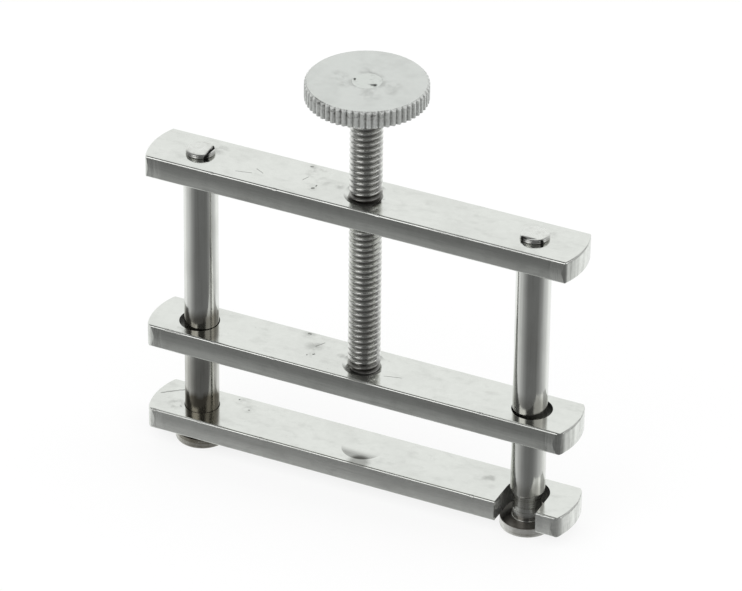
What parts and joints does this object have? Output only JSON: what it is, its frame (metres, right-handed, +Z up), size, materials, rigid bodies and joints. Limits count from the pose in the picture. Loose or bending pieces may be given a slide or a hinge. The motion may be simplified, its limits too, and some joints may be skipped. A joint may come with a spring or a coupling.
{
  "type": "tubing pinch clamp",
  "caption": "Open-sided screw clamp: a thumb screw drives a jaw bar down two posts to squeeze soft tubing against a bottom bar that swings open.",
  "frame": {"origin": "on the surface that the clamp stands on, midway between the two posts and on their centre line", "axes": "+X along the bars from the pivot post to the latch post, +Z up the screw towards the thumb head, -Y the side that the hook slot opens to"},
  "size_m": [0.0594, 0.0156, 0.0588],
  "materials": {
    "bar_nickel": "bright nickel plate over hand-polished flat bar",
    "post_nickel": "bright nickel plate over turned rod",
    "screw_nickel": "bright nickel plate over a cut thread",
    "head_nickel": "nickel plate, soft polish, knurled rim"
  },
  "bodies": {
    "frame": {"top_bar": "bar_nickel", "pivot_post": "post_nickel", "latch_post": "post_nickel"},
    "jaw": {"jaw_bar": "bar_nickel"},
    "screw": {"screw_spindle": "screw_nickel", "thumb_head": "head_nickel"},
    "swing": {"swing_bar": "bar_nickel"}
  },
  "joints": [
    {"name": "jaw_slide", "type": "slide", "parent": "frame", "child": "jaw", "axis": [0, 0, 1], "range_m": [-0.00945, 0.022]},
    {"name": "screw_turn", "type": "hinge", "parent": "jaw", "child": "screw", "pos_m": [0, 0, 0.0425], "axis": [0, 0, 1], "range_deg": [-4253, 9901]},
    {"name": "swing_pivot", "type": "hinge", "parent": "frame", "child": "swing", "pos_m": [-0.023, 0, 0.003], "axis": [0, 0, 1], "range_deg": [0, 350]}
  ],
  "couplings": [
    {"joint": "screw_turn", "follows": "jaw_slide", "rad_per_m": 7854}
  ]
}
